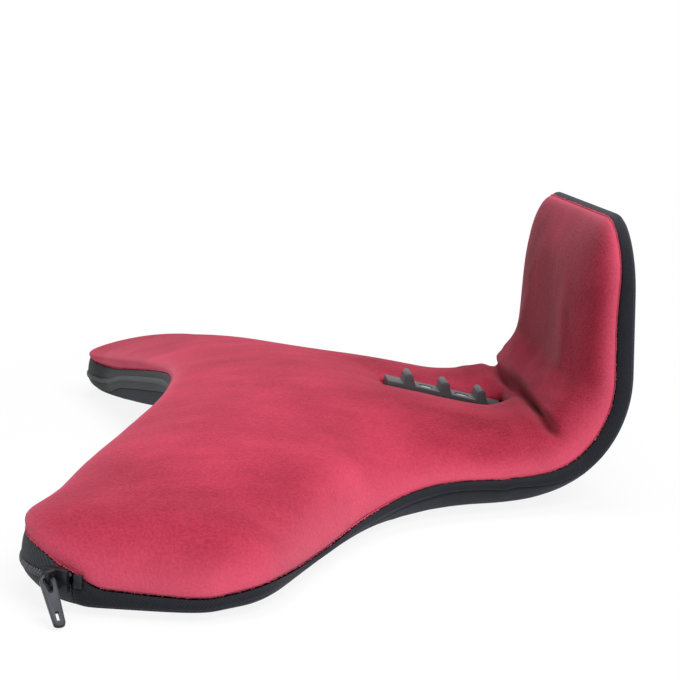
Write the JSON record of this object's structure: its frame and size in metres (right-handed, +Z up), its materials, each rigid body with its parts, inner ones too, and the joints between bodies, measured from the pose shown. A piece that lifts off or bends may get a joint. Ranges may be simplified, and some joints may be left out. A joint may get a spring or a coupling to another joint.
{
  "type": "tablet cushion stand",
  "caption": "Padded lap cushion with two splayed legs, a toothed rack for a tablet's lower edge and a tail that bends up as a backrest",
  "frame": {"origin": "on the flat underside, on the symmetry plane, 63 mm in front of where the underside starts to bend up", "axes": "+X to the user's right across the legs, +Y away from the user towards the backrest, +Z up"},
  "size_m": [0.4223, 0.223, 0.109],
  "materials": {
    "velour": "crimson short-pile velour",
    "knit": "black fine knit",
    "foam": "cream soft foam",
    "stay": "soft bendable strip",
    "zip_tape": "black woven tape",
    "zip_coil": "black nylon coil",
    "zip_metal": "gunmetal plating",
    "rack": "dark grey moulding",
    "screw": "plain steel"
  },
  "bodies": {
    "base": {"base_top_cover": "velour", "base_underside": "knit", "side_band_left": "knit", "side_band_right": "knit", "base_foam_upper": "foam", "base_foam_lower": "foam", "base_stay_left": "stay", "base_stay_right": "stay", "zip_tape_lower": "zip_tape", "zip_tape_upper": "zip_tape", "zip_coil": "zip_coil", "zip_stop_left": "zip_metal", "zip_stop_right": "zip_metal", "rack_bar": "rack", "rack_pocket": "velour", "rack_plate": "rack", "rack_screw_front": "screw", "rack_screw_rear": "screw"},
    "backrest": {"back_front_cover": "velour", "back_rear_cover": "knit", "back_side_band": "knit", "back_foam_front": "foam", "back_foam_rear": "foam", "back_stay_left": "stay", "back_stay_right": "stay"},
    "slider": {"zip_slider": "zip_metal"},
    "pull": {"zip_pull": "zip_metal"}
  },
  "joints": [
    {"name": "backrest_bend", "type": "hinge", "parent": "base", "child": "backrest", "pos_m": [0, 0.09836, 0.01464], "axis": [1, 0, 0], "range_deg": [-90, 8]},
    {"name": "slider_travel", "type": "hinge", "parent": "base", "child": "slider", "pos_m": [0.167, -0.075, 0.01075], "axis": [0, 0, 1], "range_deg": [-92, 1]},
    {"name": "pull_swing", "type": "hinge", "parent": "slider", "child": "pull", "pos_m": [0.19903, -0.09913, 0.01075], "axis": [0, 0, 1], "range_deg": [-130, 20]}
  ]
}
